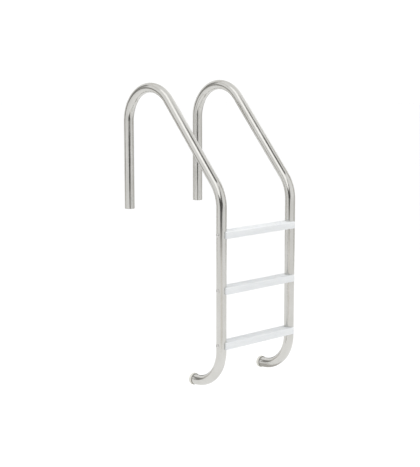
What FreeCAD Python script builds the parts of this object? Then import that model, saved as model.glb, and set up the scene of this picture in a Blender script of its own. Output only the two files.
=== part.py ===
import FreeCAD, Part
import math
import os
import Sketcher

# Three-tread pool ladder with two bent handrails, for a deck-edge pair of anchor sockets.
# Frame: +Z up, +X across the ladder, +Y from the pool towards the deck.
# Origin: midway between the bottom ends of the two deck legs.
# Left is -X, as a swimmer facing the deck sees it.

DOC = FreeCAD.newDocument("PoolLadder")
SHEET = DOC.addObject("Spreadsheet::Sheet", "Dims")

# Driving dimensions in millimetres and degrees.
DIMENSIONS = [
    ("tube_od", 48.26, "rail tube outside diameter, 1.90 in"),
    ("tube_wall", 1.245, "rail tube wall, 0.049 in"),
    ("rail_spacing", 460.0, "between the rail centre planes"),
    ("reach", 663.0, "deck leg centre line to ladder leg centre line"),
    ("slope_angle", 41.3, "sloping run, from vertical"),
    ("bend_radius", 171.5, "every bend, on the tube centre line"),
    ("deck_leg_length", 434.0, "straight run of the deck leg"),
    ("foot_drop", 803.0, "deck leg end down to the lowest point of the foot"),
    ("foot_stub", 10.0, "straight run after the foot bend"),
    ("tread_depth", 70.0, "front to back"),
    ("tread_height", 33.0, "top to bottom"),
    ("tread_rise", 240.5, "foot's lowest point up to the top of the lower tread"),
    ("tread_pitch", 263.0, "tread top to tread top"),
    ("tread_top_round", 6.0, "radius of the long top edges"),
    ("tread_foot_round", 2.0, "radius of the long bottom edges"),
    ("tread_skin", 3.5, "moulded wall thickness"),
    ("tread_rib", 2.5, "rib thickness under the tread"),
    ("cell_columns", 8.0, "ribbed cells along the tread"),
    ("groove_width", 2.5, "anti-slip groove"),
    ("groove_depth", 0.8, "anti-slip groove"),
    ("groove_pitch", 6.0, "anti-slip groove spacing"),
    ("groove_count", 9.0, "anti-slip grooves"),
    ("groove_length", 350.0, "anti-slip groove"),
    ("saddle_gap", 0.2, "radial gap between the saddle and the tube"),
    ("saddle_wall", 8.0, "saddle wall that the bolt clamps"),
    ("nut_bay", 22.0, "length of the open bay round the nut"),
    ("nut_bay_width", 24.0, "front to back"),
    ("bolt_diameter", 7.94, "5/16 in"),
    ("bolt_hole", 8.4, "clearance hole"),
    ("bolt_tail", 3.0, "shank past the nut"),
    ("head_diameter", 19.0, "domed bolt head"),
    ("head_height", 4.5, "domed bolt head"),
    ("head_rim", 1.0, "straight edge of the domed head"),
    ("key_flats", 4.76, "hexagon key recess, 3/16 in"),
    ("key_depth", 3.0, "hexagon key recess"),
    ("saddle_washer_od", 21.0, "curved washer under the head"),
    ("saddle_washer_web", 1.0, "curved washer, thinnest place"),
    ("flat_washer_od", 18.0, "washer under the nut"),
    ("flat_washer_thick", 1.6, "washer under the nut"),
    ("nut_flats", 12.7, "lock nut across flats"),
    ("nut_hex_height", 6.3, "lock nut hexagon"),
    ("nut_collar", 2.2, "lock nut collar"),
    ("nut_bore", 8.04, "lock nut bore"),
    ("bumper_od", 57.0, "cap of the bumper"),
    ("bumper_cap", 15.5, "thickness of the cap"),
    ("bumper_round", 3.5, "rounding of the cap's wall side"),
    ("bumper_back_round", 3.0, "rounding of the cap's tube side"),
    ("plug_od", 45.3, "round the barbs of the plug"),
    ("plug_core", 42.6, "plug between its barbs"),
    ("plug_bore", 26.0, "hollow of the plug"),
    ("plug_length", 16.0, "plug inside the tube"),
    ("plug_barbs", 3.0, "barbs along the plug"),
    ("plug_barb_pitch", 5.0, "barb to barb"),
]

for row, (alias, number, note) in enumerate(DIMENSIONS, start=1):
    SHEET.set("A%d" % row, alias)
    SHEET.set("B%d" % row, str(number))
    SHEET.set("C%d" % row, note)
    SHEET.setAlias("B%d" % row, alias)
DOC.recompute()

D = {alias: float(SHEET.get(alias)) for alias, number, note in DIMENSIONS}
TUBE_R = D["tube_od"] / 2
SIDES = [("left", -1), ("right", 1)]
LEVELS = [("lower", 0), ("middle", 1), ("upper", 2)]
PIECES = []


def plane(body, role):
    """One of the body's own origin planes or axes."""
    return [item for item in body.Origin.OriginFeatures if item.Role == role][0]


def add_body(label):
    body = DOC.addObject("PartDesign::Body", label)
    body.Label = label
    PIECES.append(body)
    return body


def add_sketch(body, role, name, offset=None):
    """A sketch on one of the body's own planes, moved along its normal by offset."""
    sketch = body.newObject("Sketcher::SketchObject", name)
    sketch.AttachmentSupport = [(plane(body, role), "")]
    sketch.MapMode = "FlatFace"
    if offset:
        sketch.setExpression("AttachmentOffset.Base.z", offset)
    return sketch


def dim(sketch, kind, refs, expression):
    """A dimension of the sketch that follows the sheet."""
    value = sketch.evalExpression(expression)
    number = float(getattr(value, "Value", value))
    if kind == "Angle":
        number = math.radians(number)
    index = sketch.addConstraint(Sketcher.Constraint(kind, *refs, number))
    if kind == "Angle":
        expression = "(%s) * 1 deg" % expression
    sketch.setExpression("Constraints[%d]" % index, expression)


def ring(sketch, outer, inner=None):
    """One or two circles on the sketch's origin."""
    for diameter in [outer, inner]:
        if diameter:
            radius = float(sketch.evalExpression(diameter)) / 2
            circle = Part.Circle(FreeCAD.Vector(0, 0, 0), FreeCAD.Vector(0, 0, 1), radius)
            index = sketch.addGeometry(circle)
            sketch.addConstraint(Sketcher.Constraint("Coincident", index, 3, -1, 1))
            dim(sketch, "Diameter", [index], diameter)


def joined_lines(sketch, points, closed=True):
    """Straight edges through the points, joined end to end."""
    spans = len(points) if closed else len(points) - 1
    first = sketch.GeometryCount
    for index in range(spans):
        start = FreeCAD.Vector(points[index][0], points[index][1], 0)
        after = points[(index + 1) % len(points)]
        sketch.addGeometry(Part.LineSegment(start, FreeCAD.Vector(after[0], after[1], 0)))
    for index in range(spans if closed else spans - 1):
        follower = first + (index + 1) % spans
        sketch.addConstraint(Sketcher.Constraint("Coincident", first + index, 2, follower, 1))
    return first


def box(sketch, low_x, low_y, high_x, high_y):
    """A rectangle whose four sides are expressions of the sheet."""
    left, low, right, high = [float(sketch.evalExpression(side))
                              for side in (low_x, low_y, high_x, high_y)]
    corners = [(left, low), (right, low), (right, high), (left, high)]
    first = joined_lines(sketch, corners)
    for index, kind in enumerate(["Horizontal", "Vertical", "Horizontal", "Vertical"]):
        sketch.addConstraint(Sketcher.Constraint(kind, first + index))
    for line, kind, expression in [(0, "DistanceX", low_x), (0, "DistanceY", low_y),
                                   (2, "DistanceX", high_x), (2, "DistanceY", high_y)]:
        dim(sketch, kind, [-1, 1, first + line, 1], expression)


def pad(body, sketch, length, midplane=False):
    feature = body.newObject("PartDesign::Pad", sketch.Name + "Pad")
    feature.Profile = sketch
    feature.setExpression("Length", length)
    feature.Midplane = midplane
    sketch.Visibility = False
    return feature


def pocket(body, sketch, length=None, reverse=False):
    """Cut by a length, or through everything both ways when no length is given."""
    feature = body.newObject("PartDesign::Pocket", sketch.Name + "Pocket")
    feature.Profile = sketch
    feature.Reversed = reverse
    if length:
        feature.setExpression("Length", length)
    else:
        feature.Type = "ThroughAll"
        feature.Midplane = True
    return feature


def revolution(body, sketch, axis):
    feature = body.newObject("PartDesign::Revolution", sketch.Name + "Turned")
    feature.Profile = sketch
    feature.ReferenceAxis = (sketch, [axis])
    feature.Angle = 360
    return feature


def mirrored(body, originals, role):
    feature = body.newObject("PartDesign::Mirrored", body.Label + "_mirrored")
    feature.Originals = originals
    feature.MirrorPlane = (plane(body, role), [""])
    body.Tip = feature
    return feature


def row_of(body, original, name, role, count, step, backwards=False):
    """Copies of one feature in a row, along one of the body's axes."""
    feature = body.newObject("PartDesign::LinearPattern", name)
    feature.Originals = [original]
    feature.Direction = (plane(body, role), [""])
    feature.Reversed = backwards
    feature.setExpression("Occurrences", count)
    feature.setExpression("Length", "(%s - 1) * (%s)" % (count, step))
    body.Tip = feature
    return feature


def removes_material(feature):
    """Stop when a cut points away from its solid and so cuts nothing."""
    DOC.recompute()
    if not feature.Shape.Volume < feature.BaseFeature.Shape.Volume - 0.01:
        raise RuntimeError(feature.Name + " removes nothing")


# Handrails: one bent tube each, with three cross holes for the tread bolts.

def spine(body):
    """Centre line in the YZ plane, from the deck leg's end to the foot's end."""
    sketch = add_sketch(body, "YZ_Plane", body.Label + "_spine")
    radius = D["bend_radius"]
    reach = D["reach"]
    lean = math.radians(D["slope_angle"])
    leg = D["deck_leg_length"]
    foot_z = TUBE_R - D["foot_drop"]
    turn = math.pi - lean
    apex = FreeCAD.Vector(-radius, leg, 0)
    slope_top = apex + FreeCAD.Vector(math.cos(turn), math.sin(turn), 0) * radius
    knee_y = radius - reach
    knee_z = slope_top.y - (slope_top.x - knee_y - radius * math.cos(turn)) / math.tan(lean)
    knee_z = knee_z - radius * math.sin(turn)
    knee = FreeCAD.Vector(knee_y, knee_z, 0)
    slope_end = knee + FreeCAD.Vector(math.cos(turn), math.sin(turn), 0) * radius
    foot = FreeCAD.Vector(knee_y, foot_z + radius, 0)
    out = FreeCAD.Vector(0, 0, 1)
    edges = [
        Part.LineSegment(FreeCAD.Vector(0, 0, 0), FreeCAD.Vector(0, leg, 0)),
        Part.ArcOfCircle(Part.Circle(apex, out, radius), 0, turn),
        Part.LineSegment(slope_top, slope_end),
        Part.ArcOfCircle(Part.Circle(knee, out, radius), turn, math.pi),
        Part.LineSegment(FreeCAD.Vector(-reach, knee_z, 0), FreeCAD.Vector(-reach, foot.y, 0)),
        Part.ArcOfCircle(Part.Circle(foot, out, radius), math.pi, 1.5 * math.pi),
        Part.LineSegment(FreeCAD.Vector(knee_y, foot_z, 0),
                         FreeCAD.Vector(knee_y + D["foot_stub"], foot_z, 0)),
    ]
    for edge in edges:
        sketch.addGeometry(edge)
    for index in range(len(edges) - 1):
        sketch.addConstraint(Sketcher.Constraint("Tangent", index, 2, index + 1, 1))
    sketch.addConstraint(Sketcher.Constraint("Coincident", 0, 1, -1, 1))
    for line in [0, 4]:
        sketch.addConstraint(Sketcher.Constraint("Vertical", line))
    sketch.addConstraint(Sketcher.Constraint("Horizontal", 6))
    for arc in [1, 3, 5]:
        dim(sketch, "Radius", [arc], "Dims.bend_radius")
    dim(sketch, "Distance", [0], "Dims.deck_leg_length")
    dim(sketch, "Distance", [6], "Dims.foot_stub")
    dim(sketch, "DistanceX", [4, 2, -1, 1], "Dims.reach")
    dim(sketch, "DistanceY", [6, 1, -1, 1], "Dims.foot_drop - Dims.tube_od / 2")
    dim(sketch, "Angle", [2, 1, 0, 2], "Dims.slope_angle")
    return sketch


def rail(label, side):
    body = add_body(label)
    path = spine(body)
    section = add_sketch(body, "XY_Plane", label + "_section")
    ring(section, "Dims.tube_od", "Dims.tube_od - 2 * Dims.tube_wall")
    tube = body.newObject("PartDesign::AdditivePipe", label + "_tube")
    tube.Profile = section
    tube.Spine = (path, [""])
    tube.Mode = "Frenet"
    holes = add_sketch(body, "YZ_Plane", label + "_holes")
    for level, number in LEVELS:
        radius = D["bolt_hole"] / 2
        height = "(-Dims.foot_drop + Dims.tread_rise + %d * Dims.tread_pitch - Dims.tread_height / 2)"
        height = height % number
        centre = FreeCAD.Vector(-D["reach"], float(holes.evalExpression(height)), 0)
        index = holes.addGeometry(Part.Circle(centre, FreeCAD.Vector(0, 0, 1), radius))
        dim(holes, "Diameter", [index], "Dims.bolt_hole")
        dim(holes, "DistanceX", [index, 3, -1, 1], "Dims.reach")
        dim(holes, "DistanceY", [-1, 1, index, 3], height)
    removes_material(pocket(body, holes))
    body.setExpression("Placement.Base.x", "%d * Dims.rail_spacing / 2" % side)
    return body


# Treads: moulded channels, ribbed underneath, with a saddle at each end for the tube.

def tread_section(body):
    """Rounded block section; the tread's top face is at z = 0."""
    sketch = add_sketch(body, "YZ_Plane", body.Label + "_section")
    half = D["tread_depth"] / 2
    deep = D["tread_height"]
    top = D["tread_top_round"]
    foot = D["tread_foot_round"]
    out = FreeCAD.Vector(0, 0, 1)
    corners = [(half - top, -top, top), (top - half, -top, top),
               (foot - half, foot - deep, foot), (half - foot, foot - deep, foot)]
    ends = []
    for quarter, (y, z, radius) in enumerate(corners):
        circle = Part.Circle(FreeCAD.Vector(y, z, 0), out, radius)
        arc = Part.ArcOfCircle(circle, quarter * math.pi / 2, (quarter + 1) * math.pi / 2)
        sketch.addGeometry(arc)
        ends.append((arc.StartPoint, arc.EndPoint))
    for quarter in range(4):
        sketch.addGeometry(Part.LineSegment(ends[quarter][1], ends[(quarter + 1) % 4][0]))
        sketch.addConstraint(Sketcher.Constraint("Tangent", quarter, 2, 4 + quarter, 1))
    for quarter, kind in enumerate(["Horizontal", "Vertical", "Horizontal", "Vertical"]):
        sketch.addConstraint(Sketcher.Constraint("Tangent", 4 + quarter, 2, (quarter + 1) % 4, 1))
        sketch.addConstraint(Sketcher.Constraint(kind, 4 + quarter))
    sketch.addConstraint(Sketcher.Constraint("PointOnObject", 4, 1, -1))
    sketch.addConstraint(Sketcher.Constraint("Equal", 0, 1))
    sketch.addConstraint(Sketcher.Constraint("Equal", 2, 3))
    dim(sketch, "Radius", [0], "Dims.tread_top_round")
    dim(sketch, "Radius", [2], "Dims.tread_foot_round")
    dim(sketch, "DistanceX", [-1, 1, 7, 1], "Dims.tread_depth / 2")
    dim(sketch, "DistanceX", [5, 1, -1, 1], "Dims.tread_depth / 2")
    dim(sketch, "DistanceY", [6, 1, -1, 1], "Dims.tread_height")
    return sketch


def tread(label, number):
    body = add_body(label)
    section = tread_section(body)
    pad(body, section, "Dims.rail_spacing", midplane=True)

    saddle = add_sketch(body, "XY_Plane", label + "_saddle")
    half = D["rail_spacing"] / 2
    circle = Part.Circle(FreeCAD.Vector(-half, 0, 0), FreeCAD.Vector(0, 0, 1), TUBE_R)
    saddle.addGeometry(circle)
    saddle.addConstraint(Sketcher.Constraint("PointOnObject", 0, 3, -1))
    dim(saddle, "DistanceX", [0, 3, -1, 1], "Dims.rail_spacing / 2")
    dim(saddle, "Diameter", [0], "Dims.tube_od + 2 * Dims.saddle_gap")
    notch = pocket(body, saddle)
    removes_material(notch)

    bolt_way = add_sketch(body, "YZ_Plane", label + "_bolt_way", "-Dims.rail_spacing / 2")
    centre = FreeCAD.Vector(0, -D["tread_height"] / 2, 0)
    bolt_way.addGeometry(Part.Circle(centre, FreeCAD.Vector(0, 0, 1), D["bolt_hole"] / 2))
    bolt_way.addConstraint(Sketcher.Constraint("PointOnObject", 0, 3, -2))
    dim(bolt_way, "DistanceY", [0, 3, -1, 1], "Dims.tread_height / 2")
    dim(bolt_way, "Diameter", [0], "Dims.bolt_hole")
    bolt_hole = pocket(body, bolt_way, "Dims.tube_od / 2 + Dims.saddle_gap + Dims.saddle_wall + 1", True)
    removes_material(bolt_hole)

    bay = add_sketch(body, "XY_Plane", label + "_nut_bay", "-Dims.tread_height")
    start = "-Dims.rail_spacing / 2 + Dims.tube_od / 2 + Dims.saddle_gap + Dims.saddle_wall"
    finish = start + " + Dims.nut_bay"
    middle = "Dims.nut_bay_width / 2"
    inside = "(Dims.tread_depth / 2 - Dims.tread_skin)"
    box(bay, start, "-" + middle, finish, middle)
    box(bay, start, middle + " + Dims.tread_rib", finish, inside)
    box(bay, start, "-" + inside, finish, "-" + middle + " - Dims.tread_rib")
    nut_bay = pocket(body, bay, "Dims.tread_height - Dims.tread_skin", True)
    removes_material(nut_bay)
    mirrored(body, [notch, bolt_hole, nut_bay], "YZ_Plane")

    cells = add_sketch(body, "XY_Plane", label + "_cells", "-Dims.tread_height")
    cell_start = "(%s + Dims.tread_rib)" % finish
    cell_step = "((Dims.tread_rib - 2 * %s) / Dims.cell_columns)" % cell_start
    cell_end = "%s + %s - Dims.tread_rib" % (cell_start, cell_step)
    box(cells, cell_start, "Dims.tread_rib / 2", cell_end, inside)
    box(cells, cell_start, "-" + inside, cell_end, "-Dims.tread_rib / 2")
    cell = pocket(body, cells, "Dims.tread_height - Dims.tread_skin", True)
    removes_material(cell)
    row_of(body, cell, label + "_cell_row", "X_Axis", "Dims.cell_columns", cell_step)

    grooves = add_sketch(body, "XY_Plane", label + "_groove")
    edge = "(-(Dims.groove_count - 1) * Dims.groove_pitch / 2 - Dims.groove_width / 2)"
    box(grooves, "-Dims.groove_length / 2", edge, "Dims.groove_length / 2", edge + " + Dims.groove_width")
    groove = pocket(body, grooves, "Dims.groove_depth")
    removes_material(groove)
    removes_material(row_of(body, groove, label + "_groove_row", "Y_Axis",
                            "Dims.groove_count", "Dims.groove_pitch"))
    body.setExpression("Placement.Base.y", "-Dims.reach")
    body.setExpression("Placement.Base.z",
                       "-Dims.foot_drop + Dims.tread_rise + %d * Dims.tread_pitch" % number)
    return body


# Fasteners. Each piece is drawn with the tube's axis at its origin and the bolt
# along +X, from the outside of the ladder towards the tread.

HEAD_SEAT = "(Dims.tube_od / 2 + Dims.saddle_washer_web)"
WASHER_SEAT = "(Dims.tube_od / 2 + Dims.saddle_gap + Dims.saddle_wall)"
NUT_SEAT = "(%s + Dims.flat_washer_thick)" % WASHER_SEAT
NUT_END = "(%s + Dims.nut_hex_height + Dims.nut_collar)" % NUT_SEAT


def set_at_bolt(body, side, number):
    """Put a fastener piece on its own rail, level with the middle of its tread."""
    body.Placement = FreeCAD.Placement(
        FreeCAD.Vector(0, 0, 0), FreeCAD.Rotation(FreeCAD.Vector(0, 0, 1), 90 + 90 * side))
    body.setExpression("Placement.Base.x", "%d * Dims.rail_spacing / 2" % side)
    body.setExpression("Placement.Base.y", "-Dims.reach")
    body.setExpression("Placement.Base.z", "-Dims.foot_drop + Dims.tread_rise"
                       " + %d * Dims.tread_pitch - Dims.tread_height / 2" % number)


def bolt(label, side, number):
    """Domed head with a hexagon key recess, and a plain shank."""
    body = add_body(label)
    outline = add_sketch(body, "XZ_Plane", label + "_outline")
    seat = -float(outline.evalExpression(HEAD_SEAT))
    tail = float(outline.evalExpression(NUT_END)) + D["bolt_tail"]
    rim = seat - D["head_rim"]
    crown = seat - D["head_height"]
    head = D["head_diameter"] / 2
    shank = D["bolt_diameter"] / 2
    rise = D["head_height"] - D["head_rim"]
    dome = (head ** 2 + rise ** 2) / (2 * rise)
    points = [(crown, 0), (tail, 0), (tail, shank), (seat, shank), (seat, head), (rim, head)]
    joined_lines(outline, points, closed=False)
    half_angle = math.asin(head / dome)
    circle = Part.Circle(FreeCAD.Vector(crown + dome, 0, 0), FreeCAD.Vector(0, 0, 1), dome)
    arc = outline.addGeometry(Part.ArcOfCircle(circle, math.pi - half_angle, math.pi))
    outline.addConstraint(Sketcher.Constraint("Coincident", 4, 2, arc, 1))
    outline.addConstraint(Sketcher.Constraint("Coincident", arc, 2, 0, 1))
    outline.addConstraint(Sketcher.Constraint("PointOnObject", arc, 3, -1))
    outline.addConstraint(Sketcher.Constraint("PointOnObject", 0, 1, -1))
    for line, kind in enumerate(["Horizontal", "Vertical", "Horizontal", "Vertical", "Horizontal"]):
        outline.addConstraint(Sketcher.Constraint(kind, line))
    dim(outline, "DistanceX", [0, 1, -1, 1], HEAD_SEAT + " + Dims.head_height")
    dim(outline, "DistanceX", [-1, 1, 0, 2], NUT_END + " + Dims.bolt_tail")
    dim(outline, "DistanceX", [2, 2, -1, 1], HEAD_SEAT)
    dim(outline, "DistanceX", [4, 2, -1, 1], HEAD_SEAT + " + Dims.head_rim")
    dim(outline, "DistanceY", [-1, 1, 1, 2], "Dims.bolt_diameter / 2")
    dim(outline, "DistanceY", [-1, 1, 3, 2], "Dims.head_diameter / 2")
    revolution(body, outline, "H_Axis")
    key = add_sketch(body, "YZ_Plane", label + "_key", "-%s - Dims.head_height" % HEAD_SEAT)
    hexagon(key, "Dims.key_flats")
    removes_material(pocket(body, key, "Dims.key_depth", True))
    set_at_bolt(body, side, number)


def hexagon(sketch, flats):
    """A regular hexagon on the sketch's origin, with two level sides."""
    size = float(sketch.evalExpression(flats)) / math.sqrt(3)
    angles = [math.radians(60 * turn) for turn in range(6)]
    joined_lines(sketch, [(size * math.cos(a), size * math.sin(a)) for a in angles])
    outer = sketch.addGeometry(Part.Circle(FreeCAD.Vector(0, 0, 0), FreeCAD.Vector(0, 0, 1), size), True)
    sketch.addConstraint(Sketcher.Constraint("Coincident", outer, 3, -1, 1))
    for side in range(6):
        sketch.addConstraint(Sketcher.Constraint("PointOnObject", side, 1, outer))
    for side in range(1, 6):
        sketch.addConstraint(Sketcher.Constraint("Equal", 0, side))
    sketch.addConstraint(Sketcher.Constraint("Horizontal", 1))
    dim(sketch, "Radius", [outer], "(%s) / sqrt(3)" % flats)


def saddle_washer(label, side, number):
    """Round washer, flat under the bolt head and hollowed to the tube's curve."""
    body = add_body(label)
    disc = add_sketch(body, "YZ_Plane", label + "_disc", "-" + HEAD_SEAT)
    ring(disc, "Dims.saddle_washer_od", "Dims.bolt_hole")
    pad(body, disc, "Dims.tube_od / 2")
    hollow = add_sketch(body, "XY_Plane", label + "_hollow")
    ring(hollow, "Dims.tube_od")
    removes_material(pocket(body, hollow))
    set_at_bolt(body, side, number)


def flat_washer(label, side, number):
    body = add_body(label)
    disc = add_sketch(body, "YZ_Plane", label + "_disc", WASHER_SEAT)
    ring(disc, "Dims.flat_washer_od", "Dims.bolt_hole")
    pad(body, disc, "Dims.flat_washer_thick")
    set_at_bolt(body, side, number)


def lock_nut(label, side, number):
    """Hexagon with a round locking collar on the free end."""
    body = add_body(label)
    prism = add_sketch(body, "YZ_Plane", label + "_hexagon", NUT_SEAT)
    hexagon(prism, "Dims.nut_flats")
    pad(body, prism, "Dims.nut_hex_height")
    collar = add_sketch(body, "YZ_Plane", label + "_collar", NUT_SEAT + " + Dims.nut_hex_height")
    ring(collar, "Dims.nut_flats - 1")
    pad(body, collar, "Dims.nut_collar")
    bore = add_sketch(body, "YZ_Plane", label + "_bore")
    ring(bore, "Dims.nut_bore")
    removes_material(pocket(body, bore))
    set_at_bolt(body, side, number)


# Bumpers: a rounded cap that rests on the pool wall, and a ringed plug in the tube's end.

def cap_outline(body):
    """Half section of the cap, from the tube's end at y = 0 to the flat wall face."""
    sketch = add_sketch(body, "YZ_Plane", body.Label + "_cap")
    cap = D["bumper_cap"]
    rim = D["bumper_od"] / 2
    back = D["bumper_back_round"]
    front = D["bumper_round"]
    out = FreeCAD.Vector(0, 0, 1)
    back_circle = Part.Circle(FreeCAD.Vector(back, rim - back, 0), out, back)
    front_circle = Part.Circle(FreeCAD.Vector(cap - front, rim - front, 0), out, front)
    joined_lines(sketch, [(cap, rim - front), (cap, 0), (0, 0), (0, rim - back)], closed=False)
    sketch.addGeometry(Part.ArcOfCircle(back_circle, math.pi / 2, math.pi))
    joined_lines(sketch, [(back, rim), (cap - front, rim)], closed=False)
    sketch.addGeometry(Part.ArcOfCircle(front_circle, 0, math.pi / 2))
    for first, first_end, second, second_end in [(2, 2, 3, 2), (3, 1, 4, 1), (4, 2, 5, 2), (5, 1, 0, 1)]:
        joint = Sketcher.Constraint("Tangent", first, first_end, second, second_end)
        sketch.addConstraint(joint)
    for line, kind in [(0, "Vertical"), (1, "Horizontal"), (2, "Vertical"), (4, "Horizontal")]:
        sketch.addConstraint(Sketcher.Constraint(kind, line))
    sketch.addConstraint(Sketcher.Constraint("Coincident", 2, 1, -1, 1))
    dim(sketch, "DistanceX", [-1, 1, 0, 2], "Dims.bumper_cap")
    dim(sketch, "DistanceY", [-1, 1, 4, 1], "Dims.bumper_od / 2")
    dim(sketch, "Radius", [3], "Dims.bumper_back_round")
    dim(sketch, "Radius", [5], "Dims.bumper_round")
    return sketch


def bumper(label, side):
    body = add_body(label)
    revolution(body, cap_outline(body), "H_Axis")
    core = add_sketch(body, "XZ_Plane", label + "_core")
    ring(core, "Dims.plug_core", "Dims.plug_bore")
    pad(body, core, "Dims.plug_length")
    barb = add_sketch(body, "XZ_Plane", label + "_barb", "Dims.plug_barb_pitch / 2")
    ring(barb, "Dims.plug_od", "Dims.plug_bore")
    first_barb = pad(body, barb, "Dims.plug_barb_pitch / 4")
    row_of(body, first_barb, label + "_barbs", "Y_Axis", "Dims.plug_barbs", "Dims.plug_barb_pitch", True)
    body.setExpression("Placement.Base.x", "%d * Dims.rail_spacing / 2" % side)
    body.setExpression("Placement.Base.y", "-Dims.reach + Dims.bend_radius + Dims.foot_stub")
    body.setExpression("Placement.Base.z", "-Dims.foot_drop + Dims.tube_od / 2")


for side_name, side in SIDES:
    rail(side_name + "_rail", side)
    bumper(side_name + "_bumper", side)
for level_name, number in LEVELS:
    tread(level_name + "_tread", number)
    for side_name, side in SIDES:
        place = "%s_%s_" % (level_name, side_name)
        bolt(place + "bolt", side, number)
        saddle_washer(place + "saddle_washer", side, number)
        flat_washer(place + "flat_washer", side, number)
        lock_nut(place + "lock_nut", side, number)

DOC.recompute()
for item in DOC.Objects:
    if {"Invalid", "Error"} & set(item.State):
        raise RuntimeError("%s did not build: %s" % (item.Name, item.State))

os.makedirs("parts", exist_ok=True)
for piece in PIECES:
    shape = piece.Shape
    if shape.isNull() or not shape.isValid() or len(shape.Solids) != 1:
        raise RuntimeError(piece.Label + " is not one valid solid")
    shape.exportStep("parts/%s.step" % piece.Label)
    print("%-28s %10.1f mm3" % (piece.Label, shape.Volume))
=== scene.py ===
"""Pool ladder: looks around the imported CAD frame. Metres, +Z up, -Y towards the pool."""

import math

import bmesh
import bpy
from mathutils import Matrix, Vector


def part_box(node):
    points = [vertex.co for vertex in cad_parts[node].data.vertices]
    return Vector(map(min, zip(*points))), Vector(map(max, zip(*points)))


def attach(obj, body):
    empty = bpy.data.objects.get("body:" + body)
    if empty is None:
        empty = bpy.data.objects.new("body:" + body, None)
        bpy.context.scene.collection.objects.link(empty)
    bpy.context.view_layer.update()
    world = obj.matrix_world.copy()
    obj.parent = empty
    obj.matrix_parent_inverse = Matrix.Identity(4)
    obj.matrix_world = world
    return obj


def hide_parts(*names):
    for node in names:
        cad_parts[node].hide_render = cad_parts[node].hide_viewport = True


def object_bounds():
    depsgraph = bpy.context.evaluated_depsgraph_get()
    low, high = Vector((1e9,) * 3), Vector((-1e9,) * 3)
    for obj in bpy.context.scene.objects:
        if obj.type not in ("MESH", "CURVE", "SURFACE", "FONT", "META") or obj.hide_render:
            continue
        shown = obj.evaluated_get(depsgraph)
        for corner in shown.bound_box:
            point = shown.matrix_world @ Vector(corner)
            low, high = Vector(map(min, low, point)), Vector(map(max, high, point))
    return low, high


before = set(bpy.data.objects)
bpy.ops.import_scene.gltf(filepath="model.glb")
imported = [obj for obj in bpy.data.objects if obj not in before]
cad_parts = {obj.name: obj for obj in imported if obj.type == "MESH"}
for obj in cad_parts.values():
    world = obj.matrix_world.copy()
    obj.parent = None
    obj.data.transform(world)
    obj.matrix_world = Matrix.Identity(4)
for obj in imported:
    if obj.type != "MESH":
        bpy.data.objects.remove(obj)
CAD_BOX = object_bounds()

SIDES = {"left": -1, "right": 1}
LEVELS = ["lower", "middle", "upper"]

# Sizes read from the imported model.
RAIL_LOW, RAIL_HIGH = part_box("left_rail")
TUBE_R = (RAIL_HIGH.x - RAIL_LOW.x) / 2
HALF_SPACING = -(RAIL_HIGH.x + RAIL_LOW.x) / 2
REACH = -RAIL_LOW.y - TUBE_R
FOOT_Z = RAIL_LOW.z + TUBE_R

# The rail, beyond what its box gives. RING_GAP is the usual length of a face on a straight run.
TUBE_WALL = 0.001245
TUBE_CHAMFER = 0.0003
TUBE_SEGMENTS = 96
BEND_R = 0.1715
SLOPE = math.radians(41.3)
FOOT_STUB = 0.010
FOOT_END_Y = BEND_R - REACH + FOOT_STUB
APEX_STEPS = 56
KNEE_STEPS = 18
FOOT_STEPS = 36
RING_GAP = 0.03
# How far in from each end of the tube the painted shade reaches.
PAINTED_SHADE_END = 0.002

# Treads.
SADDLE_GAP = 0.0002
SADDLE_WALL = 0.008
TREAD_TOP_ROUND = 0.006
TREAD_FOOT_ROUND = 0.002
TREAD_SKIN = 0.0035
TREAD_RIB = 0.0025
NUT_BAY = 0.022
NUT_BAY_WIDTH = 0.024
CELL_COLUMNS = 8
GROOVE_COUNT = 9
GROOVE_PITCH = 0.006
GROOVE_DEPTH = 0.0008
GROOVE_END = 0.175
GROOVE_RUN_OUT = 0.003

# A groove's section, in shares of half a pitch: where its lip starts, how wide the lip is, and
# the places that carry points.
GROOVE_EDGE = 0.52
GROOVE_LIP = 0.22
GROOVE_POINTS = [0.0, 0.08, 0.24, 0.30, 0.36, 0.41, 0.46, 0.52, 0.60]
LEAST_POINT_GAP = 0.00012
SADDLE_POINT_DEG = 5

# Distances from the tread's middle: its end bends to the saddle's shape from TAPER_START on,
# and has that shape all through the last strip.
TAPER_START = 0.200
TAPER_LENGTH = 0.028
TAPER_END = 0.228
END_STRIP = 0.002
POCKET_ROUND = 0.0015
TREAD_EDGE = 0.0003

# Fasteners.
BOLT_R = 0.00397
BOLT_HOLE_R = 0.0042
HEAD_R = 0.0095
HEAD_HEIGHT = 0.0045
HEAD_RIM = 0.001
KEY_FLATS = 0.00476
KEY_DEPTH = 0.003
KEY_LEAD_IN = 0.0006
KEY_MOUTH = 0.62
HEAD_EDGE = 0.0003
THREAD_PITCH = 0.00141
THREAD_DEPTH = 0.0005
THREAD_LENGTH = 0.016
HOLE_SEGMENTS = 32
FASTENER_SEGMENTS = 72
SADDLE_WASHER_R = 0.0105
SADDLE_WASHER_WEB = 0.001
FLAT_WASHER_R = 0.009
FLAT_WASHER_THICK = 0.0016
NUT_FLATS = 0.0127
NUT_HEX_HEIGHT = 0.0063
NUT_COLLAR = 0.0022
NUT_BORE_R = 0.00402
BOLT_TAIL = 0.003

# Bumpers.
BUMPER_CAP = 0.0155
BUMPER_ROUND = 0.0035
BUMPER_BACK_ROUND = 0.003
GATE_RING_RADII = (0.0105, 0.0112, 0.0124, 0.0131)
GATE_RING_DEPTH = 0.0004
PLUG_R = 0.0213
PLUG_BORE_R = 0.013
PLUG_LENGTH = 0.016
PLUG_CHAMFER = 0.0004
BARB_R = 0.02265
BARB_PLACES = (0.0025, 0.0075, 0.0125)
BARB_FLAT = 0.0003
BARB_LENGTH = 0.0020
BUMPER_SEGMENTS = 96

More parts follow.
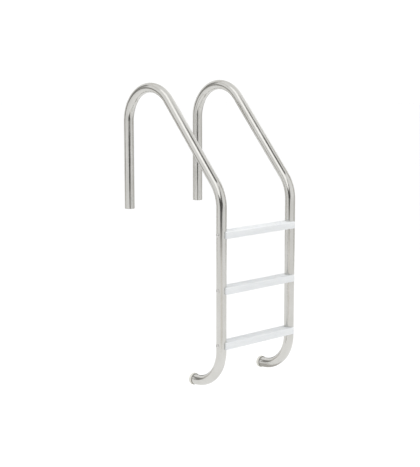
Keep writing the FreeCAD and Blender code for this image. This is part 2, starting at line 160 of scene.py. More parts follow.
# Colours. Shades are the dark and the light one that a surface drifts between.
STEEL_SHADES = ((0.545, 0.538, 0.511), (0.61, 0.604, 0.582))
# Painted shade for the tube's ends and bore.
STEEL_PAINTED_SHADE = (0.27, 0.263, 0.245)
FASTENER_SHADES = ((0.56, 0.552, 0.535), (0.63, 0.622, 0.605))
PLASTIC_SHADES = ((0.65, 0.668, 0.677), (0.71, 0.724, 0.731))
RUBBER_SHADES = ((0.625, 0.617, 0.565), (0.67, 0.663, 0.618))
# Painted shade for the seam where the bumper meets the tube's end.
RUBBER_PAINTED_SHADE = (0.2, 0.19, 0.165)

# Camera.
AZIMUTH = math.radians(-43.18)
ELEVATION = math.radians(9.477)
DISTANCE = 6.0646
AIM = Vector((-0.0419, -0.3851, -0.1024))
SENSOR_MM = 36.0
FOCAL_PX = 1241.87
LONG_SIDE_PX = 467

# Studio.
WORLD_LIGHT = 1.09
FLOOR_R = 30.0
FLOOR_GAP = 0.45
FLOOR_COLOUR = (0.925, 0.925, 0.925, 1)
FLAG_CENTRE = Vector((0, -0.4, 0.1))
FLAG_STEPS = 8
CLOTH_TINT = (1, 0.98, 0.94, 1)
OVERHEAD_SIZE = 3.0
OVERHEAD_WATTS = 60
OVERHEAD_OFFSET = Vector((-0.6, -0.8, 4.0))


# Node-tree helpers

def new_material(name):
    material = bpy.data.materials.new(name)
    material.use_nodes = True
    nodes = material.node_tree.nodes
    shader = nodes["Principled BSDF"]
    return material, nodes, material.node_tree.links, shader


def coordinates(nodes, links, scale, attribute=None):
    """Row-frame position, or a named attribute, stretched by scale."""
    if attribute:
        source = nodes.new("ShaderNodeAttribute")
        source.attribute_name = attribute
        output = source.outputs["Vector"]
    else:
        source = nodes.new("ShaderNodeTexCoord")
        output = source.outputs["Object"]
    mapping = nodes.new("ShaderNodeMapping")
    mapping.inputs["Scale"].default_value = scale
    links.new(output, mapping.inputs["Vector"])
    return mapping.outputs["Vector"]


def noise(nodes, links, vector, detail=4.0, roughness=0.55):
    texture = nodes.new("ShaderNodeTexNoise")
    texture.inputs["Scale"].default_value = 1.0
    texture.inputs["Detail"].default_value = detail
    texture.inputs["Roughness"].default_value = roughness
    links.new(vector, texture.inputs["Vector"])
    return texture.outputs["Fac"]


def spread(nodes, links, value, low_in, high_in, low_out, high_out):
    """Map a value's range onto another, held at both ends."""
    mapping = nodes.new("ShaderNodeMapRange")
    for name, number in [("From Min", low_in), ("From Max", high_in),
                         ("To Min", low_out), ("To Max", high_out)]:
        mapping.inputs[name].default_value = number
    links.new(value, mapping.inputs["Value"])
    return mapping.outputs["Result"]


def combine(nodes, links, operation, first, second):
    math_node = nodes.new("ShaderNodeMath")
    math_node.operation = operation
    for slot, value in enumerate([first, second]):
        if isinstance(value, (int, float)):
            math_node.inputs[slot].default_value = value
        else:
            links.new(value, math_node.inputs[slot])
    return math_node.outputs["Value"]


def tint(nodes, links, factor, dark, light):
    mix = nodes.new("ShaderNodeMix")
    mix.data_type = "RGBA"
    mix.inputs["A"].default_value = (*dark, 1)
    mix.inputs["B"].default_value = (*light, 1)
    links.new(factor, mix.inputs["Factor"])
    return mix.outputs["Result"]


def paint_shade(nodes, links, factor, colour, dark):
    """The colour, which turns dark as the factor rises to 1: painted shade."""
    mix = nodes.new("ShaderNodeMix")
    mix.data_type = "RGBA"
    mix.inputs["B"].default_value = (*dark, 1)
    links.new(colour, mix.inputs["A"])
    links.new(factor, mix.inputs["Factor"])
    return mix.outputs["Result"]


def along(nodes, links, axis, attribute=None):
    """One coordinate, in metres, of the position or of a named attribute."""
    parts = nodes.new("ShaderNodeSeparateXYZ")
    links.new(coordinates(nodes, links, (1, 1, 1), attribute), parts.inputs["Vector"])
    return parts.outputs[axis]


def bump(nodes, links, shader, height, distance, strength=1.0):
    node = nodes.new("ShaderNodeBump")
    node.inputs["Distance"].default_value = distance
    node.inputs["Strength"].default_value = strength
    links.new(height, node.inputs["Height"])
    links.new(node.outputs["Normal"], shader.inputs["Normal"])


# Materials

def polished_tube():
    """Drawn and polished stainless tube: lengthwise grain, faint smudges and fine scuffs, and
    painted shade that darkens its ends and bore."""
    material, nodes, links, shader = new_material("polished_stainless_tube")
    shader.inputs["Metallic"].default_value = 1.0
    grain = noise(nodes, links, coordinates(nodes, links, (900, 900, 9), "tube_grain"), 3.0)
    smudge = noise(nodes, links, coordinates(nodes, links, (14, 14, 9)), 5.0, 0.6)
    scuff = noise(nodes, links, coordinates(nodes, links, (260, 260, 30), "tube_grain"), 2.0)
    colour = tint(nodes, links, spread(nodes, links, smudge, 0.3, 0.7, 0, 1), *STEEL_SHADES)
    place = along(nodes, links, "Z", "tube_grain")
    total = line_length(rail_line())
    # Painted shade: the steel turns dark over the last few millimetres at each end and all through
    # the bore.
    leg_end = spread(nodes, links, place, 0.0003, PAINTED_SHADE_END, 1, 0)
    foot_end = spread(nodes, links, place, total - PAINTED_SHADE_END, total - 0.0005, 0, 1)
    ends = combine(nodes, links, "MAXIMUM", leg_end, foot_end)
    links.new(paint_shade(nodes, links, ends, colour, STEEL_PAINTED_SHADE), shader.inputs["Base Color"])
    haze = spread(nodes, links, smudge, 0.35, 0.75, 0.10, 0.19)
    lines = spread(nodes, links, grain, 0.3, 0.7, -0.02, 0.05)
    marks = spread(nodes, links, scuff, 0.68, 0.78, 0, 0.12)
    rough = combine(nodes, links, "ADD", haze, combine(nodes, links, "ADD", lines, marks))
    links.new(rough, shader.inputs["Roughness"])
    bump(nodes, links, shader, grain, 0.00003, 0.35)
    return material


def satin_fastener():
    """Forged and turned stainless: duller than the tube, with a fine even grain."""
    material, nodes, links, shader = new_material("satin_stainless_fastener")
    shader.inputs["Metallic"].default_value = 1.0
    grain = noise(nodes, links, coordinates(nodes, links, (700, 700, 700)), 4.0)
    patch = noise(nodes, links, coordinates(nodes, links, (90, 90, 90)), 3.0)
    links.new(tint(nodes, links, patch, *FASTENER_SHADES), shader.inputs["Base Color"])
    links.new(spread(nodes, links, grain, 0.3, 0.7, 0.20, 0.32), shader.inputs["Roughness"])
    bump(nodes, links, shader, grain, 0.00005, 0.5)
    return material


def tread_plastic():
    """White moulded plastic, with a spark-eroded texture and faint flow shading."""
    material, nodes, links, shader = new_material("white_moulded_plastic")
    texture = noise(nodes, links, coordinates(nodes, links, (1500, 1500, 1500)), 3.0)
    flow = noise(nodes, links, coordinates(nodes, links, (7, 40, 40)), 4.0)
    links.new(tint(nodes, links, spread(nodes, links, flow, 0.3, 0.7, 0, 1), *PLASTIC_SHADES),
              shader.inputs["Base Color"])
    links.new(spread(nodes, links, texture, 0.3, 0.7, 0.38, 0.52), shader.inputs["Roughness"])
    shader.inputs["Subsurface Weight"].default_value = 0.08
    shader.inputs["Subsurface Radius"].default_value = (0.004, 0.004, 0.005)
    bump(nodes, links, shader, texture, 0.00012, 0.6)
    return material


def bumper_rubber():
    """Ivory vinyl rubber: smooth, slightly waxy, faintly mottled, with painted shade in the seam at
    the tube's end.
    """
    material, nodes, links, shader = new_material("ivory_vinyl_rubber")
    fine = noise(nodes, links, coordinates(nodes, links, (1100, 1100, 1100)), 3.0)
    mottle = noise(nodes, links, coordinates(nodes, links, (60, 60, 60)), 4.0)
    colour = tint(nodes, links, spread(nodes, links, mottle, 0.3, 0.7, 0, 1), *RUBBER_SHADES)
    # Painted shade: the rubber turns dark within a millimetre of the tube's end.
    seam = spread(nodes, links, along(nodes, links, "Y"),
                  FOOT_END_Y + 0.0002, FOOT_END_Y + 0.0012, 0.65, 0)
    links.new(paint_shade(nodes, links, seam, colour, RUBBER_PAINTED_SHADE), shader.inputs["Base Color"])
    links.new(spread(nodes, links, fine, 0.3, 0.7, 0.42, 0.56), shader.inputs["Roughness"])
    shader.inputs["Subsurface Weight"].default_value = 0.1
    shader.inputs["Subsurface Radius"].default_value = (0.005, 0.004, 0.003)
    bump(nodes, links, shader, fine, 0.00008, 0.5)
    return material


# Mesh helpers

def new_object(name, mesh, material):
    piece = bpy.data.objects.new(name, mesh)
    bpy.context.scene.collection.objects.link(piece)
    mesh.materials.append(material)
    return piece


def finish_mesh(bm, name):
    bmesh.ops.recalc_face_normals(bm, faces=bm.faces)
    mesh = bpy.data.meshes.new(name)
    bm.to_mesh(mesh)
    bm.free()
    return mesh


def soft_edges(mesh, degrees):
    for polygon in mesh.polygons:
        polygon.use_smooth = True
    mesh.set_sharp_from_angle(angle=math.radians(degrees))


# Handrails

def arc_points(centre, start, turn, steps):
    """Points and travel directions along an arc in the YZ plane, without its first point."""
    result = []
    for step in range(1, steps + 1):
        angle = start + turn * step / steps
        spoke = Vector((0, math.cos(angle), math.sin(angle)))
        result.append((centre + spoke * BEND_R, Vector((0, -spoke.z, spoke.y))))
    return result


def rail_line():
    """The rail's centre line in the plane X = 0, from the deck leg's end to the foot's end."""
    up = Vector((0, 0, 1))
    leg_top = RAIL_HIGH.z - TUBE_R - BEND_R
    turn = math.pi - SLOPE
    apex = Vector((0, -BEND_R, leg_top))
    travel = Vector((0, -math.sin(SLOPE), -math.cos(SLOPE)))
    slope_top = apex + Vector((0, math.cos(turn), math.sin(turn))) * BEND_R
    knee_y = BEND_R - REACH
    slope_end_y = knee_y + math.cos(turn) * BEND_R
    slope_end = slope_top + travel * ((slope_end_y - slope_top.y) / travel.y)
    knee = slope_end - Vector((0, math.cos(turn), math.sin(turn))) * BEND_R
    foot = Vector((0, knee_y, FOOT_Z + BEND_R))
    line = [(Vector((0, 0, 0)), up), (Vector((0, 0, leg_top)), up)]
    line += arc_points(apex, 0, turn, APEX_STEPS)
    line.append((slope_end, travel))
    line += arc_points(knee, turn, SLOPE, KNEE_STEPS)
    line.append((Vector((0, -REACH, foot.z)), -up))
    line += arc_points(foot, math.pi, math.pi / 2, FOOT_STEPS)
    line.append((Vector((0, FOOT_END_Y, FOOT_Z)), Vector((0, 1, 0))))
    return subdivide_runs(line, RING_GAP)


def subdivide_runs(line, longest):
    """Extra rings on the straight runs, so that no face is long and thin."""
    result = [line[0]]
    for (start, _), (end, end_way) in zip(line, line[1:]):
        parts = max(1, round((end - start).length / longest))
        for part in range(1, parts + 1):
            share = part / parts
            way = end_way if part == parts else (end - start).normalized()
            result.append((start.lerp(end, share), way))
    return result


def line_length(line):
    return sum((after[0] - point[0]).length for point, after in zip(line, line[1:]))


def tube_mesh(name, line, centre_x):
    """A closed hollow tube along the line, with its outer edges broken at both ends. Its
    tube_grain holds the place across the tube and the distance along it."""
    bm = bmesh.new()
    grain = bm.loops.layers.float_vector.new("tube_grain")
    places = {}
    across = Vector((1, 0, 0))
    inner_r = TUBE_R - TUBE_WALL
    first, last = line[0], line[-1]
    outside = [(first[0], first[1], TUBE_R - TUBE_CHAMFER)]
    outside += [(first[0] + first[1] * TUBE_CHAMFER, first[1], TUBE_R)]
    outside += [(point, way, TUBE_R) for point, way in line[1:-1]]
    outside += [(last[0] - last[1] * TUBE_CHAMFER, last[1], TUBE_R)]
    outside += [(last[0], last[1], TUBE_R - TUBE_CHAMFER)]
    inside = [(last[0], last[1], inner_r)]
    inside += [(point, way, inner_r) for point, way in reversed(line[1:-1])]
    inside += [(first[0], first[1], inner_r)]
    rings = []
    travelled = 0.0
    previous = outside[0][0]
    for point, way, radius in outside + inside:
        travelled += (point - previous).length
        previous = point
        normal = way.cross(across)
        loop = []
        for index in range(TUBE_SEGMENTS):
            angle = 2 * math.pi * index / TUBE_SEGMENTS
            spoke = across * math.cos(angle) + normal * math.sin(angle)
            vertex = bm.verts.new(point + spoke * radius + across * centre_x)
            places[vertex] = (math.cos(angle) * radius, math.sin(angle) * radius, travelled)
            loop.append(vertex)
        rings.append(loop)
    for ring, after in zip(rings, rings[1:] + rings[:1]):
        for index in range(TUBE_SEGMENTS):
            nxt = (index + 1) % TUBE_SEGMENTS
            face = bm.faces.new((ring[index], ring[nxt], after[nxt], after[index]))
            for corner in face.loops:
                corner[grain] = places[corner.vert]
    return finish_mesh(bm, name)


def make_rail(side_name, material):
    """One bent tube, with a cross hole for each tread bolt."""
    name = side_name + "_handrail"
    centre_x = SIDES[side_name] * HALF_SPACING
    piece = new_object(name, tube_mesh(name, rail_line(), centre_x), material)
    past = TUBE_R + 0.001
    rings = [(past, 0), (past, BOLT_HOLE_R), (-past, BOLT_HOLE_R), (-past, 0)]
    for level in LEVELS:
        low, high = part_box(level + "_tread")
        origin = Vector((centre_x, -REACH, (low.z + high.z) / 2))
        cut(piece, turned("bolt_hole", rings, origin, Vector((1, 0, 0)), HOLE_SEGMENTS))
    soft_edges(piece.data, 35)
    declare(piece, side_name + "_rail")


def turned(name, rings, origin, axis, segments, closed=False):
    """A shape with rings round an axis. Each ring is (distance along the axis, radius).
    Either may be a function: radius(angle), and distance(sideways offset from the axis).
    A radius of 0 ends the shape at a point, and closed joins the last ring to the first."""
    bm = bmesh.new()
    up = Vector((0, 0, 1))
    side = axis.cross(up)
    loops = []
    for place, radius in rings:
        if radius == 0:
            loops.append([bm.verts.new(origin + axis * place)])
            continue
        loop = []
        for index in range(segments):
            angle = 2 * math.pi * index / segments
            size = radius(angle) if callable(radius) else radius
            offset = size * math.cos(angle)
            distance = place(offset) if callable(place) else place
            loop.append(bm.verts.new(origin + axis * distance + side * offset
                                     + up * size * math.sin(angle)))
        loops.append(loop)
    pairs = list(zip(loops, loops[1:]))
    if closed:
        pairs.append((loops[-1], loops[0]))
    for loop, after in pairs:
        for index in range(segments):
            nxt = (index + 1) % segments
            if len(loop) == 1:
                bm.faces.new((loop[0], after[nxt], after[index]))
            elif len(after) == 1:
                bm.faces.new((loop[index], loop[nxt], after[0]))
            else:
                bm.faces.new((loop[index], loop[nxt], after[nxt], after[index]))
    return finish_mesh(bm, name)


def hexagon_radius(flats):
    """Distance to a hexagon's edge, as a function of the angle. Two sides are level."""
    def radius(angle):
        return flats / 2 / math.cos((angle % (math.pi / 3)) - math.pi / 6)
    return radius


def apply_modifiers(piece):
    """Turn the piece's modifiers into mesh."""
    graph = bpy.context.evaluated_depsgraph_get()
    mesh = bpy.data.meshes.new_from_object(piece.evaluated_get(graph))
    piece.modifiers.clear()
    piece.data = mesh


def cut(piece, cutter):
    """Subtract a closed mesh from the piece."""
    tool = bpy.data.objects.new("cutter", cutter)
    bpy.context.scene.collection.objects.link(tool)
    modifier = piece.modifiers.new("cut", "BOOLEAN")
    modifier.operation = "DIFFERENCE"
    modifier.solver = "EXACT"
    modifier.object = tool
    apply_modifiers(piece)
    bpy.data.objects.remove(tool)


def break_edges(piece, width, degrees):
    """Round the sharp edges a little, and shade the flat faces flat."""
    bevel = piece.modifiers.new("edges", "BEVEL")
    bevel.width = width
    bevel.segments = 2
    bevel.limit_method = "ANGLE"
    bevel.angle_limit = math.radians(degrees)
    bevel.use_clamp_overlap = True
    normals = piece.modifiers.new("normals", "WEIGHTED_NORMAL")
    normals.keep_sharp = True
    for polygon in piece.data.polygons:
        polygon.use_smooth = True
    apply_modifiers(piece)


def declare(piece, node):
    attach(piece, "root")
    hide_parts(node)


# Treads

def groove_depth(y):
    """Depth of the anti-slip grooves across the tread, with rounded lips and floor."""
    nearest = max(-(GROOVE_COUNT // 2), min(GROOVE_COUNT // 2, round(y / GROOVE_PITCH)))
    away = abs(y - nearest * GROOVE_PITCH) / (GROOVE_PITCH / 2)
    share = max(0.0, min(1.0, (GROOVE_EDGE - away) / GROOVE_LIP))
    return GROOVE_DEPTH * share * share * (3 - 2 * share)


def saddle_end(y, half, saddle_r):
    """Where the tread ends at this place across it."""
    if abs(y) >= saddle_r:
        return half
    return half - math.sqrt(saddle_r ** 2 - y ** 2)


def tread_outline(depth, height, saddle_r):
    """Points round the tread's section, as (y, z, on_top). The first run is the top face."""
    flat = depth / 2 - TREAD_TOP_ROUND
    places = {flat, saddle_r}
    for number in range(GROOVE_COUNT // 2 + 1):
        for share in GROOVE_POINTS:
            places.add(abs(number * GROOVE_PITCH - share * GROOVE_PITCH / 2))
            places.add(number * GROOVE_PITCH + share * GROOVE_PITCH / 2)
    for degrees in range(SADDLE_POINT_DEG, 90, SADDLE_POINT_DEG):
        places.add(saddle_r * math.sin(math.radians(degrees)))
    kept = []
    for place in sorted(places):
        if place <= flat and (not kept or place - kept[-1] > LEAST_POINT_GAP):
            kept.append(place)
    kept[-1] = flat
    across = [-place for place in reversed(kept) if place > 0] + kept
    outline = [(y, 0.0, True) for y in across]
    top_r, foot_r = TREAD_TOP_ROUND, TREAD_FOOT_ROUND
    right = []
    for step in range(1, 11):
        angle = math.pi / 2 * (1 - step / 10)
        right.append((flat + top_r * math.cos(angle), -top_r + top_r * math.sin(angle)))
    for step in range(1, 6):
        right.append((depth / 2, -top_r - (height - top_r - foot_r) * step / 6))
    for step in range(0, 7):
        angle = -math.pi / 2 * step / 6
        right.append((depth / 2 - foot_r + foot_r * math.cos(angle),
                      -height + foot_r + foot_r * math.sin(angle)))
    outline += [(y, z, False) for y, z in right]
    outline += [(y, -height, False) for y in reversed(across)]
    outline += [(-y, z, False) for y, z in reversed(right)]
    return outline, len(across), len(right)


def tread_stations():
    """Places from one end of the tread to the other, as (nominal place, rounding of the end)."""
    stations = [(0.02 * step, 0) for step in range(9)]
    stations += [(place, 0) for place in (0.168, 0.1725, 0.1735, 0.1745, 0.1755, 0.1765, 0.182,
                                          0.190, 0.200, 0.207, 0.214, 0.221, 0.228, 0.2292)]
    stations += [(0.2296, 0.0001), (0.2299, 0.0003), (0.230, 0.0006)]
    return [(-place, inset) for place, inset in reversed(stations[1:])] + stations


def tread_body(name, centre_y, top_z, depth, height):
    """The moulding's outer skin, with its grooves and the saddle at each end."""
    saddle_r = TUBE_R + SADDLE_GAP
    outline, across, corner = tread_outline(depth, height, saddle_r)
    bm = bmesh.new()
    loops = []
    for place, inset in tread_stations():
        side = -1 if place < 0 else 1
        nominal = abs(place)
        run_out = max(0.0, min(1.0, (GROOVE_END + 0.0015 - nominal) / GROOVE_RUN_OUT))
        loop = []
        for y, z, on_top in outline:
            end = saddle_end(y, HALF_SPACING, saddle_r)
            x = nominal
            if nominal > TAPER_END:
                x = end - (HALF_SPACING - nominal)
            elif nominal > TAPER_START:
                share = (nominal - TAPER_START) / TAPER_LENGTH
                x = TAPER_START + share * (end - END_STRIP - TAPER_START)
            low = -groove_depth(y) * run_out if on_top else z
            shrink = 1 - inset / (depth / 2) if abs(y) > saddle_r else 1
            middle = -height / 2
            level = middle + (low - middle) * (1 - inset / (height / 2))
            loop.append(bm.verts.new((side * x, centre_y + y * shrink, top_z + level)))
        loops.append(loop)
    count = len(outline)
    for loop, after in zip(loops, loops[1:]):
        for index in range(count):
            nxt = (index + 1) % count
            bm.faces.new((loop[index], loop[nxt], after[nxt], after[index]))
    for loop in (loops[0], loops[-1]):
        bottom = across + corner
        for index in range(across - 1):
            bm.faces.new((loop[index], loop[index + 1],
                          loop[bottom + across - 2 - index], loop[bottom + across - 1 - index]))
        bm.faces.new(loop[across - 1:bottom + 1])
        bm.faces.new(loop[bottom + across - 1:] + [loop[0]])
    return finish_mesh(bm, name)


def pocket_box(bm, low, high):
    """A cutter for one pocket of the moulding, with rounded corners."""
    made = bmesh.ops.create_cube(bm, size=1)
    for vertex in made["verts"]:
        for axis in range(3):
            vertex.co[axis] = low[axis] if vertex.co[axis] < 0 else high[axis]
    edges = list({edge for vertex in made["verts"] for edge in vertex.link_edges})
    bmesh.ops.bevel(bm, geom=edges, offset=POCKET_ROUND, segments=3, profile=0.5, affect="EDGES")


def tread_pockets(centre_y, top_z, depth, height):
    """Cutters for the ribbed underside: open cells, and a bay round each nut."""
    bm = bmesh.new()
    low_z = top_z - height - 0.004
    high_z = top_z - TREAD_SKIN
    inside = depth / 2 - TREAD_SKIN
    bay_start = HALF_SPACING - TUBE_R - SADDLE_GAP - SADDLE_WALL
    bay_end = bay_start - NUT_BAY
    middle = NUT_BAY_WIDTH / 2
    for side in (-1, 1):
        near, far = sorted((side * bay_start, side * bay_end))
        for y_low, y_high in [(-middle, middle), (middle + TREAD_RIB, inside),
                              (-inside, -middle - TREAD_RIB)]:
            pocket_box(bm, (near, centre_y + y_low, low_z), (far, centre_y + y_high, high_z))
    first = -bay_end + TREAD_RIB
    step = (TREAD_RIB - 2 * first) / CELL_COLUMNS
    for column in range(CELL_COLUMNS):
        start = first + column * step
        for y_low, y_high in [(TREAD_RIB / 2, inside), (-inside, -TREAD_RIB / 2)]:
            pocket_box(bm, (start, centre_y + y_low, low_z),
                       (start + step - TREAD_RIB, centre_y + y_high, high_z))
    return finish_mesh(bm, "pockets")


def make_tread(level, material):
    """A grooved moulding with ribbed pockets below, and a way for the bolt at each end."""
    node = level + "_tread"
    low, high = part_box(node)
    depth, height = high.y - low.y, high.z - low.z
    centre_y = (high.y + low.y) / 2
    mesh = tread_body(level + "_moulded_tread", centre_y, high.z, depth, height)
    piece = new_object(level + "_moulded_tread", mesh, material)
    cut(piece, tread_pockets(centre_y, high.z, depth, height))
    for side in SIDES.values():
        inner = TUBE_R + SADDLE_GAP + SADDLE_WALL + 0.004
        origin = Vector((side * HALF_SPACING, centre_y, high.z - height / 2))
        rings = [(inner, 0), (inner, BOLT_HOLE_R), (0, BOLT_HOLE_R), (0, 0)]
        cut(piece, turned("bolt_way", rings, origin, Vector((-side, 0, 0)), HOLE_SEGMENTS))
    break_edges(piece, TREAD_EDGE, 45)
    soft_edges(piece.data, 40)
    declare(piece, node)


# Fasteners. Distances along the axis run from the tube's centre line, outwards.

def bolt_rings():
    """A domed head with a hexagon recess, a plain shank, and a thread up to the tail."""
    seat = TUBE_R + SADDLE_WASHER_WEB
    crown = seat + HEAD_HEIGHT
    rise = HEAD_HEIGHT - HEAD_RIM
    dome = (HEAD_R ** 2 + rise ** 2) / (2 * rise)
    tail = -(TUBE_R + SADDLE_GAP + SADDLE_WALL + FLAT_WASHER_THICK + NUT_HEX_HEIGHT
             + NUT_COLLAR + BOLT_TAIL)
    hexagon = hexagon_radius(KEY_FLATS)
    floor = crown - KEY_DEPTH
    rings = [(floor - KEY_LEAD_IN, 0), (floor, hexagon), (crown - KEY_LEAD_IN, hexagon)]
    mouth = KEY_FLATS * KEY_MOUTH
    for step in range(15):
        radius = mouth + (HEAD_R - HEAD_EDGE - mouth) * step / 14
        rings.append((crown - dome + math.sqrt(dome ** 2 - radius ** 2), radius))
    rings += [(seat + HEAD_RIM - 0.0001, HEAD_R - 0.00005), (seat + HEAD_RIM - HEAD_EDGE, HEAD_R)]
    rings += [(seat + HEAD_EDGE, HEAD_R), (seat + 0.0001, HEAD_R - 0.0001),
              (seat, HEAD_R - HEAD_EDGE)]
    rings += [(seat, BOLT_R + 0.0002), (seat - 0.0003, BOLT_R)]
    thread = tail + THREAD_LENGTH
    rings += [(thread + 0.001, BOLT_R)]
    while thread > tail + 0.002:
        rings += [(thread, BOLT_R), (thread - THREAD_PITCH * 0.15, BOLT_R),
                  (thread - THREAD_PITCH * 0.5, BOLT_R - THREAD_DEPTH),
                  (thread - THREAD_PITCH * 0.65, BOLT_R - THREAD_DEPTH)]
        thread -= THREAD_PITCH
    rings += [(tail + 0.0008, BOLT_R), (tail, BOLT_R - 0.0008), (tail, 0)]
    return rings


def saddle_washer_rings():
    """Flat under the bolt head, and curved to the tube on the other face."""
    seat = TUBE_R + SADDLE_WASHER_WEB

    def on_tube(offset):
        return math.sqrt(TUBE_R ** 2 - offset ** 2)

    def off_tube(offset):
        return on_tube(offset) + 0.00015

    outer, inner = SADDLE_WASHER_R, BOLT_HOLE_R
    rings = [(seat, inner + 0.0002), (seat, 0.007), (seat, outer - 0.0004),
             (seat - 0.0001, outer - 0.00012), (seat - 0.0004, outer), (off_tube, outer)]
    rings += [(on_tube, outer - 0.00015 - (outer - inner - 0.0003) * step / 5) for step in range(6)]
    rings += [(off_tube, inner), (seat - 0.0002, inner)]
    return rings


def flat_washer_rings():
    near = -(TUBE_R + SADDLE_GAP + SADDLE_WALL)
    far = near - FLAT_WASHER_THICK
    outer, inner = FLAT_WASHER_R, BOLT_HOLE_R
    soft = 0.0002
    return [(near, inner + soft), (near, outer - soft), (near - soft, outer), (far + soft, outer),
            (far, outer - soft), (far, inner + soft), (far + soft, inner), (near - soft, inner)]


def lock_nut_rings():
    """A chamfered hexagon with a round collar, which holds the nylon ring."""
    near = -(TUBE_R + SADDLE_GAP + SADDLE_WALL + FLAT_WASHER_THICK)
    shoulder = near - NUT_HEX_HEIGHT
    far = shoulder - NUT_COLLAR
    hexagon = hexagon_radius(NUT_FLATS)

    def chamfered(inset):
        limit = NUT_FLATS / 2 * 0.97 + inset * 1.9

        def radius(angle):
            return min(hexagon(angle), limit)
        return radius

    collar = (NUT_FLATS - 0.001) / 2
    bore = NUT_BORE_R
    rings = [(near, bore + 0.0004), (near, chamfered(0))]
    rings += [(near - inset, chamfered(inset)) for inset in (0.00015, 0.0003, 0.00045, 0.0006)]
    rings += [(shoulder + inset, chamfered(inset))
              for inset in (0.0006, 0.00045, 0.0003, 0.00015, 0)]
    rings += [(shoulder, collar + 0.0002), (shoulder - 0.0002, collar), (far + 0.0008, collar),
              (far + 0.0002, collar - 0.0003), (far, collar - 0.0008), (far, bore + 0.0009),
              (far + 0.0004, bore + 0.0008), (far + 0.0004, bore), (near - 0.0004, bore)]
    return rings


def make_fasteners(level, side_name, material):
    """The bolt, its two washers and its nut, at one end of a tread."""
    side = SIDES[side_name]
    low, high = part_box(level + "_tread")
    origin = Vector((side * HALF_SPACING, -REACH, (low.z + high.z) / 2))
    outward = Vector((side, 0, 0))
    place = "%s_%s_" % (level, side_name)
    for piece_name, node, rings, closed in [
            ("dome_bolt", "bolt", bolt_rings(), False),
            ("curved_washer", "saddle_washer", saddle_washer_rings(), True),
            ("plain_washer", "flat_washer", flat_washer_rings(), True),
            ("nylon_lock_nut", "lock_nut", lock_nut_rings(), True)]:
        mesh = turned(place + piece_name, rings, origin, outward, FASTENER_SEGMENTS, closed)
        soft_edges(mesh, 28)
        piece = new_object(place + piece_name, mesh, material)
        declare(piece, place + node)


# Bumpers

def make_bumper(side_name, material):
    """A rounded cap with a gate ring on its wall face, and a barbed hollow plug in the tube."""
    node = side_name + "_bumper"
    low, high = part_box(node)
    rim = (high.x - low.x) / 2
    cap, front, back = BUMPER_CAP, BUMPER_ROUND, BUMPER_BACK_ROUND
    gate = GATE_RING_RADII
    rings = [(cap, 0), (cap, gate[0]), (cap - GATE_RING_DEPTH, gate[1]),
             (cap - GATE_RING_DEPTH, gate[2]), (cap, gate[3]), (cap, rim - front - 0.002)]
    for step in range(13):
        angle = math.pi / 2 * (1 - step / 12)
        rings.append((cap - front + front * math.sin(angle), rim - front + front * math.cos(angle)))
    for step in range(7):
        angle = math.pi / 2 * step / 6
        rings.append((back - back * math.sin(angle), rim - back + back * math.cos(angle)))
    chamfer = PLUG_CHAMFER
    rings += [(0, PLUG_R + chamfer), (-chamfer, PLUG_R)]
    for barb in BARB_PLACES:
        rings += [(-barb, PLUG_R), (-barb, BARB_R), (-barb - BARB_FLAT, BARB_R),
                  (-barb - BARB_LENGTH, PLUG_R)]
    rings += [(-PLUG_LENGTH + chamfer, PLUG_R), (-PLUG_LENGTH, PLUG_R - chamfer)]
    rings += [(-PLUG_LENGTH, PLUG_BORE_R + chamfer), (-PLUG_LENGTH + chamfer, PLUG_BORE_R)]
    rings += [(-0.0006, PLUG_BORE_R), (0, PLUG_BORE_R - 0.0006), (0, 0)]
    origin = Vector((SIDES[side_name] * HALF_SPACING, high.y - cap, FOOT_Z))
    name = side_name + "_wall_bumper"
    mesh = turned(name, rings, origin, Vector((0, 1, 0)), BUMPER_SEGMENTS)
    soft_edges(mesh, 35)
    declare(new_object(name, mesh, material), node)


# Stage

def make_camera():
    back = Vector((math.sin(AZIMUTH) * math.cos(ELEVATION),
                   -math.cos(AZIMUTH) * math.cos(ELEVATION), math.sin(ELEVATION)))
    camera = bpy.data.objects.new("camera", bpy.data.cameras.new("camera"))
    bpy.context.scene.collection.objects.link(camera)
    camera.location = AIM + back * DISTANCE
    camera.rotation_euler = back.to_track_quat("Z", "Y").to_euler()
    camera.data.sensor_width = SENSOR_MM
    camera.data.lens = FOCAL_PX / LONG_SIDE_PX * SENSOR_MM
    bpy.context.scene.camera = camera


def make_world():
    world = bpy.data.worlds.new("studio")
    bpy.context.scene.world = world
    world.use_nodes = True
    backdrop = world.node_tree.nodes["Background"]
    backdrop.inputs["Color"].default_value = (1, 1, 1, 1)
    backdrop.inputs["Strength"].default_value = WORLD_LIGHT


def make_floor():
    bpy.ops.mesh.primitive_circle_add(vertices=128, radius=FLOOR_R, fill_type="NGON",
                                      location=(0, 0, CAD_BOX[0][2] - FLOOR_GAP))
    floor = bpy.context.object
    floor.name = "floor"
    material, _, _, shader = new_material("studio_floor")
    shader.inputs["Base Color"].default_value = FLOOR_COLOUR
    shader.inputs["Roughness"].default_value = 0.9
    shader.inputs["Specular IOR Level"].default_value = 0.2
    floor.data.materials.append(material)


def make_overhead():
    """A wide soft light above, which polished metal doesn't mirror."""
    lamp = bpy.data.lights.new("overhead", "AREA")
    lamp.shape = "DISK"
    lamp.size = OVERHEAD_SIZE
    lamp.energy = OVERHEAD_WATTS
    overhead = bpy.data.objects.new("overhead", lamp)
    bpy.context.scene.collection.objects.link(overhead)
    overhead.location = FLAG_CENTRE + OVERHEAD_OFFSET
    overhead.rotation_euler = (overhead.location - FLAG_CENTRE).to_track_quat("Z", "Y").to_euler()
    overhead.visible_glossy = False
    overhead.visible_camera = False


def heading(side_deg, up_deg):
    """A direction from the ladder: degrees to the viewer's right of the camera, and up."""
    turn = AZIMUTH + math.radians(side_deg)
    rise = math.radians(up_deg)
    return Vector((math.sin(turn) * math.cos(rise), -math.cos(turn) * math.cos(rise),
                   math.sin(rise)))


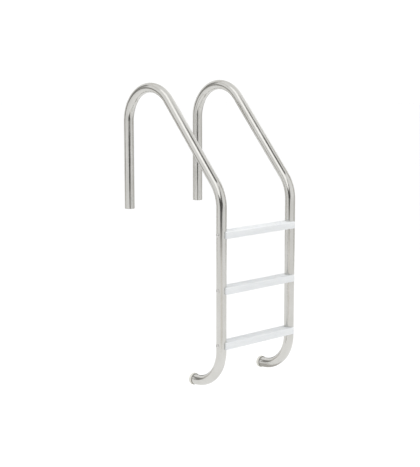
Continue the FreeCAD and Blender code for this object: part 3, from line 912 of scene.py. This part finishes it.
def make_flag(name, stations, distance, glow, fade=None):
    """A dark cloth or a bright strip round the ladder, seen only in reflections. Each
    station is degrees right of the camera, degrees up and half width in degrees. Glow is the
    brightness, where 1 is white. Fade is (low z, high z, brightness at the low z), and
    between the two heights the brightness changes over to glow."""
    bm = bmesh.new()
    middles = [heading(side, up) for side, up, half in stations]
    widths = [math.radians(half) for side, up, half in stations]
    rows = []
    for index in range(len(stations) - 1):
        last = index == len(stations) - 2
        for step in range(FLAG_STEPS + 1 if last else FLAG_STEPS):
            share = step / FLAG_STEPS
            middle = middles[index].slerp(middles[index + 1], share)
            ahead = (middles[index + 1] - middles[index]).normalized()
            across = middle.cross(ahead).normalized()
            half = math.tan(widths[index] * (1 - share) + widths[index + 1] * share)
            ways = [(middle + across * half * offset).normalized()
                    for offset in (-1, -0.5, 0, 0.5, 1)]
            rows.append([bm.verts.new(FLAG_CENTRE + way * distance) for way in ways])
    for row, after in zip(rows, rows[1:]):
        for index in range(4):
            bm.faces.new((row[index], row[index + 1], after[index + 1], after[index]))
    mesh = bpy.data.meshes.new(name)
    bm.to_mesh(mesh)
    bm.free()
    material, nodes, links, shader = new_material(name)
    shader.inputs["Base Color"].default_value = (0, 0, 0, 1)
    shader.inputs["Specular IOR Level"].default_value = 0
    shader.inputs["Emission Color"].default_value = (1, 1, 1, 1) if glow > 1 else CLOTH_TINT
    shader.inputs["Emission Strength"].default_value = glow
    if fade:
        links.new(spread(nodes, links, along(nodes, links, "Z"), fade[0], fade[1], fade[2], glow),
                  shader.inputs["Emission Strength"])
    flag = new_object(name, mesh, material)
    flag.visible_camera = False
    flag.visible_diffuse = False
    flag.visible_shadow = False


make_camera()
make_world()
make_floor()
make_overhead()

# The dark cloths.
make_flag("front_flag", [(6, -42, 12), (2, -19, 12), (-3, -9, 19), (-3, 1, 27), (-2, 9, 26)],
          1.25, 0.12, (-0.36, -0.1, 0.98))
make_flag("knee_flag", [(10, 5, 13), (14, 14, 9), (19, 26, 4), (24, 40, 3)], 1.27, 0.25)
make_flag("arc_flag", [(-3, 58, 4), (18, 60, 6), (45, 63, 6), (66, 63, 4)], 5.4, 0.22)
make_flag("far_flag", [(-93, -8, 6), (-101, 2, 8), (-109, 14, 9), (-113, 28, 8), (-110, 37, 6)],
          5.4, 0.34)
make_flag("bend_flag", [(-104, 38, 5), (-91, 42, 4), (-80, 38, 4)], 5.5, 0.84)
make_flag("tail_flag", [(-122, 44, 6), (-145, 48, 6), (-165, 54, 5), (170, 62, 4)], 5.5, 0.8)
make_flag("left_flag", [(-116, -14, 14), (-116, 6, 14)], 5.6, 0.8)
make_flag("right_flag", [(100, -14, 10), (112, 18, 12), (113, 34, 13), (92, 43, 8)], 5.6, 0.68)
make_flag("side_flag", [(140, -18, 16), (136, 4, 10)], 5.6, 0.6)
make_flag("back_flag", [(180, -14, 24), (180, 8, 24)], 5.6, 0.2)
# Painted shadow: a dark sheet under the ladder, seen only in reflections, for the shade on the
# floor below it.
make_flag("painted_floor_shadow", [(180, -70, 13), (180, -88, 20)], 1.1, 0.62)

# The bright strips.
make_flag("key_strip", [(-8, 13, 7), (-17, 22, 12), (-21, 36, 15), (-34, 59, 14), (-58, 58, 11),
                        (-78, 60, 8)], 5.2, 1.62)
make_flag("rim_strip", [(148, 4, 9), (150, 24, 11), (147, 50, 12)], 5.2, 1.35)

TUBE = polished_tube()
FASTENER = satin_fastener()
PLASTIC = tread_plastic()
RUBBER = bumper_rubber()
for side_name in SIDES:
    make_rail(side_name, TUBE)
    make_bumper(side_name, RUBBER)
for level in LEVELS:
    make_tread(level, PLASTIC)
    for side_name in SIDES:
        make_fasteners(level, side_name, FASTENER)

bpy.context.scene.view_settings.view_transform = "Standard"
